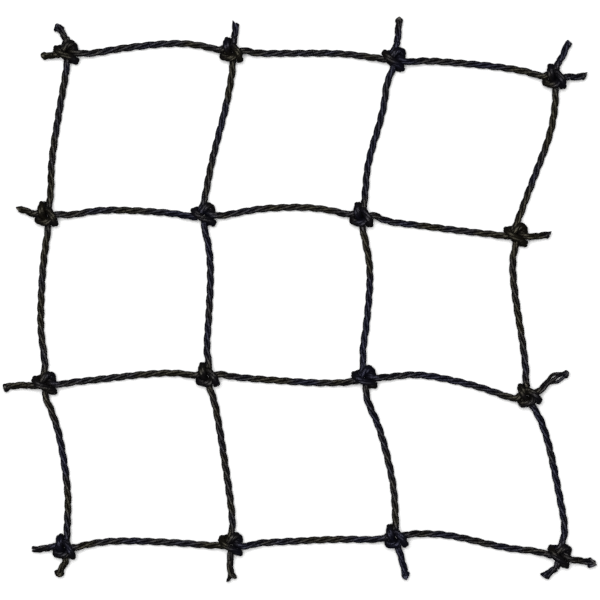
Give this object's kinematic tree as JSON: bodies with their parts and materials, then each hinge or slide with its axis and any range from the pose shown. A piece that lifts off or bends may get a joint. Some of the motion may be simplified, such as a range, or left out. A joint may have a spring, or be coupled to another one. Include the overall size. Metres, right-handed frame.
{
  "type": "cargo climbing net",
  "caption": "Section of black knotted climbing net: twisted twine tied into square meshes with sheet bends, with short cut ends all round.",
  "frame": {"origin": "middle of the net's outline, on the ground the net lies on", "axes": "+X to the right along the knot rows, +Y up the net from the bottom row to the top row, +Z away from the ground"},
  "size_m": [0.3732, 0.351, 0.0141],
  "materials": {
    "twine": "black three-strand twisted nylon twine, satin",
    "twine_end": "black twisted nylon twine with a hot-cut, fused tip"
  },
  "bodies": {
    "row_1": {"bight_1_1": "twine", "bight_1_2": "twine", "bight_1_3": "twine", "bight_1_4": "twine", "hitch_1_1": "twine", "hitch_1_2": "twine", "hitch_1_3": "twine", "hitch_1_4": "twine"},
    "row_2": {"bight_2_1": "twine", "bight_2_2": "twine", "bight_2_3": "twine", "bight_2_4": "twine", "hitch_2_1": "twine", "hitch_2_2": "twine", "hitch_2_3": "twine", "hitch_2_4": "twine"},
    "row_3": {"bight_3_1": "twine", "bight_3_2": "twine", "bight_3_3": "twine", "bight_3_4": "twine", "hitch_3_1": "twine", "hitch_3_2": "twine", "hitch_3_3": "twine", "hitch_3_4": "twine"},
    "row_4": {"bight_4_1": "twine", "bight_4_2": "twine", "bight_4_3": "twine", "bight_4_4": "twine", "hitch_4_1": "twine", "hitch_4_2": "twine", "hitch_4_3": "twine", "hitch_4_4": "twine"},
    "end_bottom_1": {"end_bottom_1": "twine_end"},
    "end_bottom_2": {"end_bottom_2": "twine_end"},
    "end_bottom_3": {"end_bottom_3": "twine_end"},
    "end_bottom_4": {"end_bottom_4": "twine_end"},
    "end_left_1": {"end_left_1": "twine_end"},
    "end_left_2": {"end_left_2": "twine_end"},
    "end_left_3": {"end_left_3": "twine_end"},
    "end_left_4": {"end_left_4": "twine_end"},
    "end_right_1": {"end_right_1": "twine_end"},
    "end_right_2": {"end_right_2": "twine_end"},
    "end_right_3": {"end_right_3": "twine_end"},
    "end_right_4": {"end_right_4": "twine_end"},
    "end_top_1": {"end_top_1": "twine_end"},
    "end_top_2": {"end_top_2": "twine_end"},
    "end_top_3": {"end_top_3": "twine_end"},
    "end_top_4": {"end_top_4": "twine_end"}
  },
  "joints": [
    {"name": "fold_1", "type": "hinge", "parent": "row_1", "child": "row_2", "pos_m": [0, 0.1, 0.0036], "axis": [1, 0, 0], "range_deg": [-90, 90]},
    {"name": "fold_2", "type": "hinge", "parent": "row_2", "child": "row_3", "pos_m": [0, 0, 0.0036], "axis": [1, 0, 0], "range_deg": [-90, 90]},
    {"name": "fold_3", "type": "hinge", "parent": "row_3", "child": "row_4", "pos_m": [0, -0.102, 0.0036], "axis": [1, 0, 0], "range_deg": [-90, 90]},
    {"name": "swing_bottom_1", "type": "hinge", "parent": "row_4", "child": "end_bottom_1", "pos_m": [-0.14764, -0.16461, 0.00556], "axis": [0, 0, 1], "range_deg": [-45, 45]},
    {"name": "swing_bottom_2", "type": "hinge", "parent": "row_4", "child": "end_bottom_2", "pos_m": [-0.04386, -0.16347, 0.00562], "axis": [0, 0, 1], "range_deg": [-45, 45]},
    {"name": "swing_bottom_3", "type": "hinge", "parent": "row_4", "child": "end_bottom_3", "pos_m": [0.06289, -0.16056, 0.00556], "axis": [0, 0, 1], "range_deg": [-45, 45]},
    {"name": "swing_bottom_4", "type": "hinge", "parent": "row_4", "child": "end_bottom_4", "pos_m": [0.15668, -0.167, 0.00562], "axis": [0, 0, 1], "range_deg": [-45, 45]},
    {"name": "swing_left_1", "type": "hinge", "parent": "row_1", "child": "end_left_1", "pos_m": [-0.15494, 0.15238, 0.00662], "axis": [0, 0, 1], "range_deg": [-45, 45]},
    {"name": "swing_left_2", "type": "hinge", "parent": "row_2", "child": "end_left_2", "pos_m": [-0.16863, 0.0548, 0.00671], "axis": [0, 0, 1], "range_deg": [-45, 45]},
    {"name": "swing_left_3", "type": "hinge", "parent": "row_3", "child": "end_left_3", "pos_m": [-0.17172, -0.05279, 0.00662], "axis": [0, 0, 1], "range_deg": [-45, 45]},
    {"name": "swing_left_4", "type": "hinge", "parent": "row_4", "child": "end_left_4", "pos_m": [-0.15796, -0.15426, 0.00671], "axis": [0, 0, 1], "range_deg": [-45, 45]},
    {"name": "swing_right_1", "type": "hinge", "parent": "row_1", "child": "end_right_1", "pos_m": [0.16936, 0.1392, 0.00662], "axis": [0, 0, 1], "range_deg": [-45, 45]},
    {"name": "swing_right_2", "type": "hinge", "parent": "row_2", "child": "end_right_2", "pos_m": [0.14648, 0.04013, 0.00667], "axis": [0, 0, 1], "range_deg": [-45, 45]},
    {"name": "swing_right_3", "type": "hinge", "parent": "row_3", "child": "end_right_3", "pos_m": [0.15326, -0.0517, 0.00662], "axis": [0, 0, 1], "range_deg": [-45, 45]},
    {"name": "swing_right_4", "type": "hinge", "parent": "row_4", "child": "end_right_4", "pos_m": [0.17383, -0.16179, 0.00667], "axis": [0, 0, 1], "range_deg": [-45, 45]},
    {"name": "swing_top_1", "type": "hinge", "parent": "row_1", "child": "end_top_1", "pos_m": [-0.1474, 0.16456, 0.00552], "axis": [0, 0, 1], "range_deg": [-45, 45]},
    {"name": "swing_top_2", "type": "hinge", "parent": "row_1", "child": "end_top_2", "pos_m": [-0.04097, 0.16563, 0.00562], "axis": [0, 0, 1], "range_deg": [-45, 45]},
    {"name": "swing_top_3", "type": "hinge", "parent": "row_1", "child": "end_top_3", "pos_m": [0.06037, 0.16266, 0.00552], "axis": [0, 0, 1], "range_deg": [-45, 45]},
    {"name": "swing_top_4", "type": "hinge", "parent": "row_1", "child": "end_top_4", "pos_m": [0.16217, 0.15055, 0.00562], "axis": [0, 0, 1], "range_deg": [-45, 45]}
  ]
}
